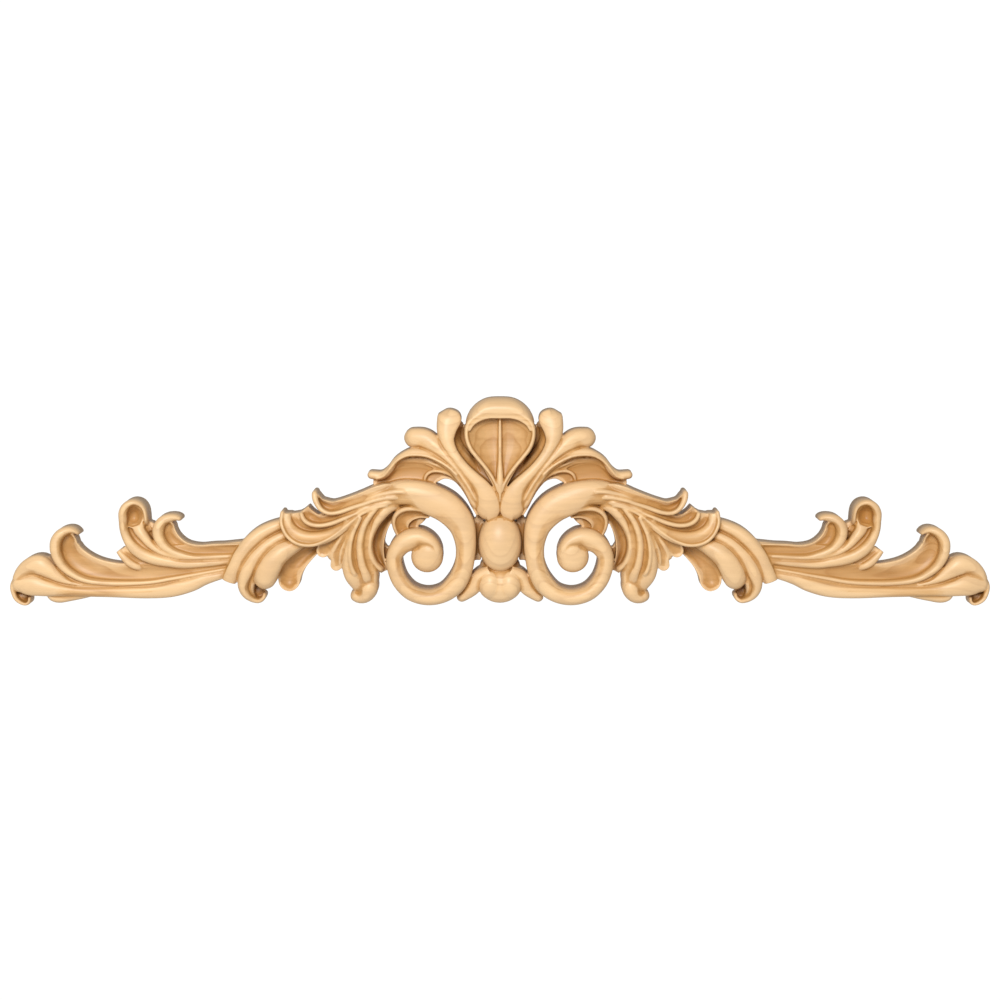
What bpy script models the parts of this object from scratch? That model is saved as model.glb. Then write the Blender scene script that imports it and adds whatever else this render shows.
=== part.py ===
"""A carved wood onlay: a shell over an egg, with C-scrolls, acanthus leaves and long leafy arms.

The right half is carved stroke by stroke and then mirrored. A stroke is a ribbon of wood that follows
a smooth line, or a dome. Places are given on a pattern grid: the first number is the distance out from
the centreline, the second the height above the base line, and PATTERN_LENGTH steps make LENGTH. The grid
shows the carving in perspective, as it looks from EYE. Heights of the relief are given in percent of DEPTH.
The back is flat and lies in the plane y = 0.
"""

import math
from collections import namedtuple

import bmesh
import bpy
import numpy as np

# Sizes in metres
LENGTH = 0.610
HEIGHT = 0.130
DEPTH = 0.028

# The pattern grid, drawn as the carving looks to an eye above its middle: the eye's place in steps,
# and how far in front of the carving it is
PATTERN_LENGTH = 970.8
PATTERN_HEIGHT = 205.7
PATTERN_BASE = -1.8
EYE = (0, 355)
SIGHT = 1.4

# How finely the carving is faceted
CELL = LENGTH / 560
FACETS = 9400

NAME = "onlay"
WOOD = (0.79, 0.56, 0.32, 1.0)

Ribbon = namedtuple("Ribbon", "path wide crest drop lower dished ends")
Dome = namedtuple("Dome", "at radii base crest")


def ribbon(path, wide, crest, drop=12, lower=None, dished=False, ends=("open", "round")):
    """A stroke along path, wide to each side of it. Its edges lie drop below its crest, and a
    negative drop makes a flute. Seen along the path, drop is for the left edge and lower for the right."""
    return Ribbon(path, wide, crest, drop, drop if lower is None else lower, dished, ends)


def flute(path, wide, crest, drop=-8, lower=None, ends=("open", "open")):
    """A dished ribbon, as a gouge leaves it."""
    return ribbon(path, wide, crest, drop, lower, True, ends)


def ground(path, wide, level, ends=("open", "open")):
    """Flat wood left between the strokes, so that no slot opens between them."""
    return ribbon(path, wide, level, 0, 0, True, ends)


def scroll():
    """The C-scroll, from the leaf over the top and round to its eye."""
    eye = (73, 43)
    turn = [58.7, 52.8, 47.6, 41.6, 38.3, 38, 39.4, 40.8, 40.8, 39.6, 36.8, 34.2, 32.8,
            28.7, 24, 21, 17, 14.6, 12.8, 11.4, 10.4, 10]
    path = [(160, 91), (130, 101), (105, 106.5), (88, 107)]
    for step, reach in enumerate(turn):
        angle = math.radians(22.5 * step)
        path.append((eye[0] - reach * math.sin(angle), eye[1] + reach * math.cos(angle)))
    wide = [2, 7.5, 11.5, 12.3, 15, 15, 13.2, 10.6, 9.5, 9.6, 9.8, 8.4, 7.8, 7.8, 8, 8, 8, 9.4,
            10.4, 9, 7.8, 6.4, 5.4, 4.6, 4.6, 4.6]
    return [
        ribbon(path, wide, [72, 91, 92, 90, 88, 88, 90, 91, 91], 20, ends=("open", "sink")),
        Dome(eye, (15.8, 15.6), 66, 91),
        Dome((70.5, 47.5), (13, 13.5), 74, 91.5),
    ]


def scroll_leaf():
    """The leaf that grows outward from the scroll: three dished lobes with thin raised rims."""
    return [
        ground([(206, 76), (190, 75), (172, 80), (152, 88), (132, 97), (116, 103)],
               [7, 8, 9, 8, 7, 5], [52, 54, 62, 70, 76, 74]),
        # The upper lobe
        flute([(183, 107), (181, 102), (177, 96.8), (167, 93.3), (157, 95.7), (145, 99.7), (134, 103.7),
               (123, 107.8), (111, 110.5), (98, 111)],
              [2.5, 3.8, 5.6, 6.4, 6, 6, 6.2, 6.6, 6.6, 5], [66, 58, 56, 60, 66, 72, 78, 82, 78, 64],
              [-10, -14, -13, -11, -9, -7, -5, -3, -1], ends=("round", "open")),
        ribbon([(160, 93.5), (146, 97), (133, 101), (120, 105.5), (105, 108.5), (88, 109)],
               2.8, [64, 76, 85, 90, 92], 9, ends=("open", "sink")),
        ribbon([(184.5, 110), (184.5, 104), (182.6, 97.5), (178, 91), (170.5, 87.6), (160, 88.6), (147, 93),
                (136, 96.5), (125, 100.2), (112, 103), (97, 103.5)],
               [2.6, 3, 2.8, 2.4, 2.3, 2.3, 2.3, 2.3, 2.4, 2.6, 3], [74, 79, 84, 86, 87, 88, 90, 91], 8,
               ends=("round", "sink")),
        # The middle lobe
        flute([(195, 91.5), (189, 85), (180, 80.8), (170, 82), (159, 86), (147, 90.5), (135, 95.3),
               (122, 99.5)],
              [5.4, 6, 5.4, 4.6, 3.8, 3.2, 2.6, 2.2], [60, 54, 58, 66, 74, 80, 84, 80], [-8, -10, -8, -5, -3]),
        ribbon([(198.5, 89), (196.5, 82.5), (192, 78), (185, 75.6), (176, 75.6), (166, 78), (155, 82.3),
                (144, 87), (132, 92.5), (119, 97), (104, 99)],
               [2, 2.3, 2.3, 2.3, 2.3, 2.3, 2.3, 2.3, 2.3, 2.6, 3], [70, 78, 83, 85, 86, 86, 87, 88], 8,
               ends=("round", "sink")),
        # The lower lobe
        flute([(206, 87.5), (204.5, 80), (197.5, 73), (187, 70.5), (175, 72.5), (163, 77), (151, 83),
               (140, 89)],
              [9, 8, 7, 6, 4.8, 3.8, 3, 2.2], [58, 56, 58, 62, 68, 74, 79, 80], [-8, -8, -6, -4, -2]),
        ribbon([(212.5, 87.5), (212.5, 79), (209, 70.5), (202, 64.8), (192, 61.8), (180, 62.5), (168, 66.5),
                (157, 73), (147, 80.5), (138, 87)],
               [4, 5.5, 6.8, 7.2, 7.2, 6.6, 5.6, 4.4, 3.2, 2.4], [70, 73, 76, 79, 81, 83, 84, 80], 3, lower=11,
               ends=("open", "sink")),
        ribbon([(216.5, 90), (218, 80), (216.3, 72.2), (212, 64.5), (205.2, 58.8), (196.4, 56), (186.5, 56),
                (178, 58.7), (169, 63.2), (158, 71), (147, 80), (136, 88), (122, 93.5), (108, 96.5)],
               2.1, [74, 80, 84, 85, 86, 86, 87, 88], 8, ends=("round", "sink")),
    ]


def fingers():
    """Two small dished fingers under the leaf, each with a rib on its inner side."""
    return [
        flute([(150, 79), (160, 69), (170.5, 59), (180, 45)],
              [3, 5, 7, 6.5], [80, 70, 62, 54], -6, ends=("open", "round")),
        ribbon([(148, 78), (158, 64), (166, 51), (170, 41)], 3, [80, 74, 68, 58], 10),
        flute([(148, 77), (155, 62), (161, 47), (164.5, 30.5)],
              [3, 5, 6, 5.5], [78, 70, 62, 54], -4, ends=("open", "round")),
        ribbon([(148, 75), (153, 62), (158, 49), (160, 35)], 2.6, [80, 76, 70, 60], 8),
    ]


def drop_leaf():
    """The leaf that hangs beside the scroll, with its tip hooked outward, and the deep hollow next to it."""
    return [
        ground([(136, 91), (140, 72), (142, 50), (140, 32), (136, 14)],
               [7, 10, 12, 13, 10], [80, 76, 72, 65, 54]),
        ground([(110, 99), (120, 93), (129, 84), (135, 70)], [5, 6, 7, 6], [78, 76, 74, 70]),
        ground([(82, 98), (92, 97), (101, 94.5), (110, 85)], [5, 5, 6, 7], [76, 70, 58, 41]),
        ground([(117, 58), (114.5, 51), (113, 42)], [2, 3.5, 4], 26),
        ribbon([(141, 86), (148, 68), (150.5, 50), (150, 36), (147, 25.5), (141, 16), (137, 8)],
               [3, 4, 6, 8, 9, 8.5, 8], [86, 82, 79, 75, 70, 66, 60], 15, ends=("open", "sink")),
        ribbon([(139, 84), (147, 66), (150, 48), (148, 33), (142, 21)],
               2.4, [88, 85, 83, 79, 72], 8, ends=("open", "sink")),
        ribbon([(112, 101), (124, 92), (133, 80), (138, 67), (139.7, 53), (138, 37), (134, 25), (132, 12)],
               [3, 3.4, 3.6, 4, 4.2, 4.6, 5, 6], [86, 87, 86, 83, 79, 73, 66], 12, ends=("open", "sink")),
        ribbon([(132, 48), (127.5, 36), (125.8, 24), (127, 12)],
               [2, 4.2, 4.4, 4], [66, 64, 60, 56], 0, lower=22, ends=("sink", "round")),
        ribbon([(132, 26), (131, 13), (135, 5), (142, 3), (149.5, 7)],
               [7, 9, 8, 6.4, 4.6], [68, 66, 62, 56, 50], 22, ends=("sink", "round")),
        flute([(103, 92), (114, 82), (121, 68), (123, 54), (120, 40), (115, 30)],
              [4, 6.5, 7.5, 7.5, 6, 4], [44, 38, 34, 34, 34, 36], -8, lower=-22),
        ribbon([(103, 98), (112, 92.5), (119.5, 84), (125.5, 74), (129.4, 62), (129.5, 49), (125, 37.5),
                (117, 29.5)],
               [7, 6, 5, 4, 3.2, 3, 3, 3], [88, 86, 83, 80, 77, 74, 68, 60], 14, ends=("sink", "round")),
    ]


def inner_leaf():
    """A small dished leaf that reaches from the top of the scroll to its inner turn."""
    return [
        ground([(94, 79), (87, 77.5), (80, 80), (74, 84)], [6, 4.5, 3, 2], [46, 50, 58], ends=("open", "sink")),
        flute([(70, 85.5), (79, 87), (88, 86), (95, 81.5), (97.5, 75), (96, 66)],
              [2.5, 3.5, 5, 6.2, 6.5, 6], [64, 56, 51, 47], -10),
        ribbon([(66, 86), (75, 90), (86, 92), (96, 91), (103, 86.5), (105.7, 80), (104.5, 72), (100, 63)],
               [2, 2.4, 2.6, 2.6, 2.6, 2.4, 2.2, 2], [88, 82, 75, 65, 54], 10, ends=("sink", "open")),
    ]


def husks():
    """Three husks that overlap like roof tiles, a dark hollow beside them and one curled tip."""
    return [
        ground([(200, 68), (216, 60), (232, 48), (246, 32)], [8, 12, 14, 10], 48),
        ribbon([(208, 76.5), (221, 75), (238, 67), (251, 56), (261, 42.5), (268, 28), (271.5, 18.5)],
               [4, 5.5, 7, 7.3, 7.2, 7.2, 7], [62, 68, 74, 74, 68], 16, ends=("open", "open")),
        ribbon([(208, 68), (219, 63.5), (233, 54.5), (245, 42.5), (253.5, 29), (257.5, 16), (255, 7),
                (249, 1.5), (241.5, -0.5), (236.5, 3), (235.5, 8)],
               [4, 5.5, 6.5, 7, 7, 5.4, 4.4, 3.2, 2.4, 2, 1.8], [64, 72, 77, 68, 54, 44], [14, 16, 14, 8]),
        ribbon([(246, 28), (248.5, 17), (249, 9), (246, 3)],
               [2.4, 3, 2.8, 2], [62, 58, 52, 46], 10, ends=("open", "open")),
        Dome((242, 8), (7.5, 8), 14, 22),
        ribbon([(190, 62), (213, 51), (223.5, 43), (230.5, 33.5), (235, 24), (239, 11)],
               [4, 9, 10.3, 11.2, 11.5, 10], [66, 80, 84, 84, 80, 70], 20),
        flute([(180, 57), (196, 44), (205, 34.5), (209.5, 25), (210.5, 10.5)],
              [5, 8, 10.3, 11, 10], [28, 30, 32, 32, 34], -14, ends=("open", "round")),
    ]


def arm():
    """The long arm: a top lobe and a cupped lobe curl up from it, a rib runs below to the end leaf."""
    return [
        ground([(250, 47), (295, 46), (325, 46), (350, 46), (361, 45)], [13, 10, 10, 8, 5], [56, 52, 50, 48]),
        ground([(349, 79), (346.5, 69), (342, 59), (332, 48)], [3.6, 4, 5, 5], 42, ends=("round", "open")),
        ground([(368, 77), (366, 66), (360, 55), (353, 46)], [9, 8, 6, 5], [54, 54, 58, 60]),
        # The top lobe
        flute([(248, 51), (283, 51), (300, 50.5), (314, 53), (324.5, 60.5), (329.5, 70), (329, 80)],
              [7, 6.5, 6, 6.6, 7.2, 6.8, 5], [54, 50, 44, 46], -12, ends=("open", "round")),
        ribbon([(317.5, 81), (323, 83), (330.5, 82.3), (337, 79), (341, 72.5), (341, 64.5), (337.5, 57),
                (330.5, 50.5), (318, 45.5), (300, 43.3), (258, 45.5)],
               [2, 3.2, 4.2, 5, 5.8, 5.8, 5.4, 4.6, 4, 3.4, 3], [58, 67, 70, 67, 62], 14,
               ends=("round", "open")),
        # The cupped lobe
        ribbon([(361.5, 75.5), (360, 70), (355.5, 63.5), (349.8, 56.8), (342, 50.8), (332, 46.2), (310, 42.5),
                (258, 43)],
               [7.4, 6, 5, 4.5, 4, 3.4, 2.8, 2.4], [63, 69, 68, 65, 60], 14, ends=("open", "open")),
        ribbon([(376.3, 84), (375.8, 72), (372, 61.4), (366, 53), (357, 46.3), (346, 42), (332, 39),
                (310, 36.5), (258, 40)],
               [4.3, 4.2, 4.9, 5.8, 6.2, 6.2, 5.6, 4.6, 3.4], [74, 72, 70, 67, 62], 14, ends=("open", "open")),
        ribbon([(376.4, 80), (376.3, 88), (373, 94.5), (366.5, 98), (359.5, 96.6), (355, 91.5), (353.3, 84),
                (353, 75)],
               [4.2, 4.2, 3.7, 3, 2.6, 2.2, 2, 2.2], [74, 76, 70, 64], ends=("open", "sink")),
        ground([(364, 98), (364, 86), (363, 72)], 10, 38, ends=("round", "round")),
        ground([(355, 86), (354, 77), (350, 69)], 4, 46),
        flute([(363.8, 97), (363.8, 86), (363.4, 74)],
              [9, 10.4, 10], [44, 40, 42], [-22, -26, -21], ends=("round", "round")),
        # A short finger below it, with a flute beside it
        ribbon([(381, 50.2), (375.5, 43), (368, 36.5), (355, 31)],
               [2.9, 3.6, 4, 3], [58, 60, 55], 10, ends=("open", "sink")),
        flute([(376, 53), (369, 44.5), (359, 38.5), (344, 34.5)],
              [3.2, 4, 4, 2.6], [52, 50, 46], -3, ends=("open", "sink")),
        # The long hollow, the ridge that curls round it and the rib below
        flute([(427, 68.5), (430.5, 58), (427, 47), (416, 37), (400, 30.5), (380, 27.5), (357, 28), (332, 29),
               (305, 31), (258, 36)],
              [6.5, 11, 12.4, 12.7, 11.6, 10.6, 10, 8.5, 6, 4], [40, 34, 40, 48, 56], [-14, -14, -9, -4, -2],
              lower=[-14, -14, -10, -6, -2], ends=("round", "open")),
        ribbon([(419.5, 66.5), (425.5, 70), (432, 70), (439, 66.3), (443.8, 59.5), (444.7, 51), (442.3, 42),
                (437, 33.8), (429, 27), (418, 21.5), (404, 18.6), (380, 17.3), (350, 18.5), (325, 22.5),
                (300, 27), (258, 35)],
               [1.8, 3, 3.9, 4.9, 5.4, 5.4, 5, 4.4, 3.9, 3.5, 3.3, 3.2, 3, 2.8, 2.6, 2.6],
               [54, 66, 70, 66, 62, 60, 60], 14, ends=("round", "open")),
        ribbon([(258, 31), (280, 25.5), (296, 21.5), (310, 16.3), (330, 11.4), (355, 8.8), (390, 8.7),
                (420, 9.2), (440, 10.5), (456, 12.5), (469, 15), (480, 15.5), (488, 12)],
               [4, 4.8, 6.5, 8, 8.5, 7.2, 5.9, 5.8, 6.8, 8.8, 10.6, 9, 5], [60, 62, 61, 60, 66, 52], 15),
    ]


def end_leaf():
    """The leaf at the end of the arm, with its tip curled under."""
    return [
        ground([(290, 24), (330, 19), (370, 14), (410, 15), (425, 18), (440, 23), (451, 25), (466, 27)],
               [4, 5, 5, 5, 6, 8, 8, 5], [46, 48, 52, 54, 52, 50, 48, 48]),
        ground([(428, 21), (440, 27), (448, 35), (453, 42)], [4, 5, 5, 4], [52, 48, 44, 40]),
        ribbon([(412, 15), (422, 16.5), (432, 19), (442, 23.6), (451.5, 29.5), (461, 34.8), (470.5, 33.5),
                (479, 27), (485.5, 17)],
               [2, 2.6, 4, 6.2, 8.2, 10, 8.6, 6.8, 4.4], [56, 58, 64, 68, 62, 52], 16, ends=("sink", "round")),
        ribbon([(485.5, 22), (487.6, 13), (485, 3), (480, -1.8), (474.5, -3.4), (471.2, -1), (470.8, 4)],
               [2.6, 2.6, 2.3, 2, 1.7, 1.6, 1.6], [50, 47, 44, 42], 8, ends=("sink", "round")),
        Dome((478, 4), (7.5, 7), 14, 28),
        ribbon([(402, 7.5), (418, 5), (430, 3.6), (441, 2.2), (448, 3.2), (452.5, 7)],
               [2, 3.4, 4.4, 4.8, 4, 2.6], 50),
    ]


def fan():
    """Three leaves that fan out beside the shell. The first ends below in the bulb that holds the egg."""
    return [
        ribbon([(49.5, 190.5), (50, 183), (53, 171), (53, 160), (49, 149.5), (42.5, 139.5), (34.5, 130),
                (26, 121), (18.5, 112), (13.5, 102), (12, 93), (12.5, 80)],
               [11, 12.3, 10, 7.6, 6.2, 5.8, 6, 7, 9, 11.3, 12, 11], [66, 78, 83, 88, 90, 84], 20, lower=9,
               ends=("round", "round")),
        flute([(39, 178), (43.5, 171), (44.5, 162), (41, 153), (34, 143.5), (24, 133), (14.5, 122.5), (6, 111)],
              [3, 4.4, 4.8, 5, 5, 5, 4.6, 3.4], [44, 44, 46, 52, 64], [-18, -18, -16, -12], lower=16),
        ribbon([(95.4, 163), (88, 162), (76, 161), (67, 156), (57.5, 147.5), (50, 139.5), (42.5, 130.5),
                (36, 121.5), (30, 112), (24.5, 102), (19, 93)],
               [8, 9.2, 9.6, 8.6, 6, 4.2, 3.4, 3, 3, 3, 3], [58, 70, 78, 83, 84, 78], 18,
               ends=("round", "sink")),
        ribbon([(132, 126), (125, 125), (117, 125), (110, 130.5), (103.7, 139.5), (97, 144.5), (88, 147.5),
                (79, 147.5), (69, 145), (58, 138.5), (48, 130.5), (39, 120), (32.5, 110), (27, 99), (21, 90)],
               [3.8, 4, 4, 3.4, 2.8, 2.9, 4, 4, 3.8, 3.6, 3.4, 3.4, 3.4, 3.6, 3.6], [56, 62, 69, 72, 80, 78],
               ends=("round", "sink")),
        ground([(112, 126), (104, 136), (96, 142), (86, 143), (74, 141.5), (62, 136), (52, 129)],
               [3, 4, 5, 5, 5, 5, 4], [43, 44, 46, 49, 57]),
        flute([(119, 119), (109, 121), (98, 128.5), (86, 130), (74, 128.5), (63, 128), (54, 127), (44, 122.5),
               (36.5, 114), (31, 105), (26, 96), (20, 88)],
              [4, 7, 12, 13.5, 14, 9.5, 4.8, 3.2, 2.8, 2.6, 3, 4], [38, 37, 41, 48, 58, 66], -5, lower=-16),
        ground([(126, 120), (116, 117), (106, 118)], [3.5, 6, 7], [42, 39, 36], ends=("round", "open")),
        ribbon([(124, 122), (116, 124.5), (109.5, 132), (102.4, 140), (93.6, 144.8), (83.7, 145.8),
                (72.6, 144.5), (61.6, 140), (50.6, 133), (40, 122.5)],
               1.6, [60, 67, 73, 77, 84], 7, ends=("round", "sink")),
        ribbon([(80.5, 138.3), (72.5, 139), (64, 136), (53, 130.6), (44, 124), (38.5, 117.5)],
               1.8, [46, 60, 74], 8, ends=("open", "sink")),
        ribbon([(75, 120), (73, 125.5), (68, 129), (61, 129.5), (52.5, 127.4), (45, 122.5), (38.5, 115)],
               1.8, [48, 58, 74], 8, ends=("open", "sink")),
    ]


def shell():
    """The shell: a domed back, a dished face inside a rolled rim, and a fine ridge on the centreline."""
    return [
        ribbon([(-8, 191), (4, 191.5), (13, 190.5), (22, 186), (29, 178.5), (32, 170)],
               [9.5, 9.5, 9, 7.4, 5, 2.5], [88, 87, 86], 46, lower=2, ends=("open", "open")),
        ground([(8, 186), (11, 165), (9, 140), (4, 118), (0, 94)], [22, 21, 14, 9, 6], [52, 52, 52, 60, 78]),
        ground([(35, 175), (36.5, 165), (33, 150), (24, 138), (14, 124), (4, 108)],
               [3, 5, 6, 6, 6, 5], [26, 24, 26, 40]),
        flute([(2, 110), (3, 122), (5, 140), (7, 156), (7, 170), (6, 184)],
              [2.5, 7, 15, 25, 27, 22], [84, 76, 68, 62, 59, 58], [-2, -8, -16, -24, -27, -28]),
        ribbon([(-6, 187.3), (6, 187.2), (17, 186.6), (25.5, 182.6), (31, 177), (33.2, 169.4), (32.5, 160.6),
                (29, 151.6), (22.5, 142.8), (16, 135), (10, 127), (5.2, 118.5), (1.5, 109)],
               [2.4, 2.4, 2.2, 2.2, 1.9, 1.6], [86, 88, 88, 90, 90], 10, ends=("open", "open")),
        ribbon([(0, 188), (0, 165), (0, 142), (0, 122), (0, 110), (0, 99)],
               [1.6, 1.9, 2.2, 3.6, 2.8, 0.8], [70, 76, 82, 91, 91, 84], 10, ends=("sink", "open")),
    ]


def beads():
    """The egg, the ball with its two lobes, and what ties them to the scroll."""
    return [
        Dome((0, 95), (12, 15), 20, 78),
        Dome((0, 56), (21.3, 28.5), 62, 100),
        Dome((8, 33), (12, 9), 20, 66),
        Dome((0, 13.6), (20.5, 17), 58, 84),
        Dome((9.5, 15), (12, 15), 60, 88),
        ribbon([(10, 29), (20, 22.5), (27.5, 12), (37, 4), (43, 1)],
               [6, 8, 7.4, 5.4, 4], [78, 74, 68, 60, 54], 16),
        ground([(19, 87), (21, 79), (23, 70), (23, 41)], 4, 38),
    ]


def smooth_line(points, count):
    """A smooth curve through the points, read more closely towards its ends, and each reading's place
    in the list."""
    p = np.array(points, float)
    ends = np.vstack([2 * p[0] - p[1], p, 2 * p[-1] - p[-2]])
    spans = len(p) - 1
    fine = []
    place = []
    for i in range(spans):
        a, b, c, d = ends[i:i + 4]
        t = np.linspace(0, 1, 24, endpoint=False)[:, None]
        cubic = (2 * a - 5 * b + 4 * c - d) * t**2 + (3 * b - a - 3 * c + d) * t**3
        fine.append(b + 0.5 * ((c - a) * t + cubic))
        place.append((i + t[:, 0]) / spans)
    fine = np.vstack(fine + [p[-1:]])
    place = np.append(np.concatenate(place), 1)
    run = lengths(fine)
    at = run[-1] * (1 - np.cos(np.linspace(0, math.pi, count))) / 2
    line = np.column_stack([np.interp(at, run, fine[:, k]) for k in (0, 1)])
    return line, np.interp(at, run, place)


def lengths(line):
    """The length run along a line up to each of its points."""
    return np.append(0, np.cumsum(np.linalg.norm(np.diff(line, axis=0), axis=1)))


def spread(values, place):
    """Values spread evenly along a stroke, read smoothly at each place between 0 and 1."""
    v = np.atleast_1d(np.array(values, float))
    if len(v) == 1:
        return np.full(len(place), v[0])
    slope = np.gradient(v)
    at = place * (len(v) - 1)
    i = np.minimum(at.astype(int), len(v) - 2)
    t = at - i
    start = (1 + 2 * t) * v[i] + t * slope[i]
    end = (3 - 2 * t) * v[i + 1] + (t - 1) * slope[i + 1]
    return (1 - t)**2 * start + t**2 * end


def as_built(line, height):
    """Where points of the pattern lie on the carving. The higher a point stands, the nearer to the eye's
    place it comes, so that it looks as drawn."""
    near = np.reshape(height, (-1, 1)) / 100 * DEPTH / SIGHT
    return line + (np.array(EYE) - line) * near


def ribbon_top(stroke, along, across):
    """The top of a ribbon as rows of points: out, up and height."""
    line, place = smooth_line(stroke.path, along)
    crest = spread(stroke.crest, place)
    line = as_built(line, crest)
    wide = spread(stroke.wide, place)
    run = lengths(line)
    to_end = (run, run[-1] - run)
    round_off = np.ones(along)
    sink = np.zeros(along)
    for kind, gone, reach in zip(stroke.ends, to_end, (wide[0], wide[-1])):
        if kind == "round":
            near = np.clip(1 - gone / reach, 0, 1)
            round_off = np.minimum(round_off, np.sqrt(1 - near**2))
        if kind == "sink":
            sink += 16 * np.clip(1 - gone / (2.5 * reach + 2), 0, 1)**2
    tangent = np.gradient(line, axis=0)
    tangent /= np.linalg.norm(tangent, axis=1, keepdims=True)
    reach = np.maximum(wide * round_off, 0.15)[:, None]
    v = np.sin(np.linspace(-math.pi / 2, math.pi / 2, across))
    out = line[:, :1] - tangent[:, 1:] * reach * v
    up = line[:, 1:] + tangent[:, :1] * reach * v
    if stroke.dished:
        lip = np.clip(np.abs(v) - 0.8, 0, 1)
        fall = v**2 - 8 * lip**2
    else:
        fall = 1 - np.sqrt(1 - v**2)
    soft = round_off[:, None]**2 if stroke.dished else round_off[:, None]
    left = spread(stroke.drop, place)[:, None]
    right = spread(stroke.lower, place)[:, None]
    side = np.where(v > 0, left, right)
    height = crest[:, None] - sink[:, None] - side * (1 - (1 - fall) * soft)
    return out, up, height


def place_on_pattern(out, up, height):
    """Metres from pattern steps: out along +X, up along +Z, the relief towards -Y."""
    x = out * LENGTH / PATTERN_LENGTH
    z = (up - PATTERN_BASE) * HEIGHT / PATTERN_HEIGHT - HEIGHT / 2
    return x, -height / 100 * DEPTH, z


def add_ribbon(bm, stroke):
    """A grid bent into the ribbon's top, then pulled back into a block that ends behind the back plane."""
    reach = lengths(np.array(stroke.path, float))[-1]
    along = 12 + round(reach / 2)
    across = 13
    out, up, height = ribbon_top(stroke, along, across)
    made = bmesh.ops.create_grid(bm, x_segments=along - 1, y_segments=across - 1, size=1)
    for vert in made["verts"]:
        i = round((vert.co.x + 1) / 2 * (along - 1))
        j = round((vert.co.y + 1) / 2 * (across - 1))
        vert.co = place_on_pattern(out[i, j], up[i, j], height[i, j])
    faces = list({face for vert in made["verts"] for face in vert.link_faces})
    pulled = bmesh.ops.extrude_face_region(bm, geom=faces, use_keep_orig=True)
    for item in pulled["geom"]:
        if isinstance(item, bmesh.types.BMVert):
            item.co.y = DEPTH / 6


def add_dome(bm, dome):
    """Half a ball on a straight plug, ending behind the back plane."""
    middle = as_built(np.array(dome.at), dome.crest)[0]
    ball = bmesh.new()
    bmesh.ops.create_uvsphere(ball, u_segments=40, v_segments=20, radius=1)
    for vert in ball.verts:
        out = middle[0] + dome.radii[0] * vert.co.x
        up = middle[1] + dome.radii[1] * vert.co.y
        if vert.co.z > -0.01:
            height = dome.base + (dome.crest - dome.base) * max(vert.co.z, 0)
            vert.co = place_on_pattern(out, up, height)
        else:
            x, y, z = place_on_pattern(out, up, 0)
            vert.co = (x, DEPTH / 6, z)
    mesh = bpy.data.meshes.new("dome")
    ball.to_mesh(mesh)
    ball.free()
    bm.from_mesh(mesh)
    bpy.data.meshes.remove(mesh)


def half_block():
    """The strokes of the half pattern as overlapping blocks in one mesh."""
    bm = bmesh.new()
    for group in (scroll, scroll_leaf, fingers, drop_leaf, inner_leaf, husks, arm, end_leaf, fan, shell, beads):
        for stroke in group():
            if isinstance(stroke, Dome):
                add_dome(bm, stroke)
            else:
                add_ribbon(bm, stroke)
    bmesh.ops.recalc_face_normals(bm, faces=bm.faces)
    mesh = bpy.data.meshes.new(NAME)
    bm.to_mesh(mesh)
    bm.free()
    return mesh


def applied(obj):
    """The object's mesh as its modifiers leave it."""
    seen = obj.evaluated_get(bpy.context.evaluated_depsgraph_get())
    return bpy.data.meshes.new_from_object(seen)


def fuse(mesh):
    """One skin round all the blocks, then as few facets as still show the carving."""
    obj = bpy.data.objects.new("half", mesh)
    bpy.context.scene.collection.objects.link(obj)
    skin = obj.modifiers.new("skin", "REMESH")
    skin.mode = "VOXEL"
    skin.voxel_size = CELL
    skin.adaptivity = 0
    obj.data = applied(obj)
    obj.modifiers.clear()
    obj.data.calc_loop_triangles()
    fewer = obj.modifiers.new("facets", "DECIMATE")
    fewer.ratio = FACETS / 2 / len(obj.data.loop_triangles)
    fused = applied(obj)
    bpy.data.objects.remove(obj)
    return fused


def cut_and_mirror(mesh):
    """The half cut off flat at the back and on the centreline, then doubled across the centreline."""
    bm = bmesh.new()
    bm.from_mesh(mesh)
    cut_flat(bm, 1, (0, 1, 0))
    rim = [edge for edge in bm.edges if edge.is_boundary]
    bmesh.ops.triangle_fill(bm, edges=rim, use_beauty=True, normal=(0, 1, 0))
    cut_flat(bm, 0, (-1, 0, 0))
    bmesh.ops.mirror(bm, geom=bm.verts[:] + bm.edges[:] + bm.faces[:], axis="X", merge_dist=1e-7)
    bmesh.ops.recalc_face_normals(bm, faces=bm.faces)
    return bm


def cut_flat(bm, axis, normal):
    """Cuts away what lies past a plane through the origin. Points near the plane are moved onto it
    first, so that the cut leaves no slivers."""
    near = CELL / 6
    for vert in bm.verts:
        if abs(vert.co[axis]) < near:
            vert.co[axis] = 0
    bmesh.ops.bisect_plane(bm, geom=bm.verts[:] + bm.edges[:] + bm.faces[:], dist=1e-7, plane_co=(0, 0, 0),
                           plane_no=normal, clear_outer=True)
    flat = [face for face in bm.faces if all(vert.co[axis] == 0 for vert in face.verts)]
    bmesh.ops.delete(bm, geom=flat, context="FACES")
    touching = [edge for edge in bm.edges
                if not edge.is_boundary and all(vert.co[axis] == 0 for vert in edge.verts)]
    middle = bmesh.ops.subdivide_edges(bm, edges=touching, cuts=1)["geom_inner"]
    for item in middle:
        if isinstance(item, bmesh.types.BMVert):
            item.co[axis] = -near * normal[axis]


def wood():
    """Pale honey wood under a thin clear finish."""
    material = bpy.data.materials.new("wood")
    material.use_nodes = True
    shader = material.node_tree.nodes["Principled BSDF"]
    shader.inputs["Base Color"].default_value = WOOD
    shader.inputs["Roughness"].default_value = 0.42
    return material


for old in list(bpy.data.objects):
    bpy.data.objects.remove(old)

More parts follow.
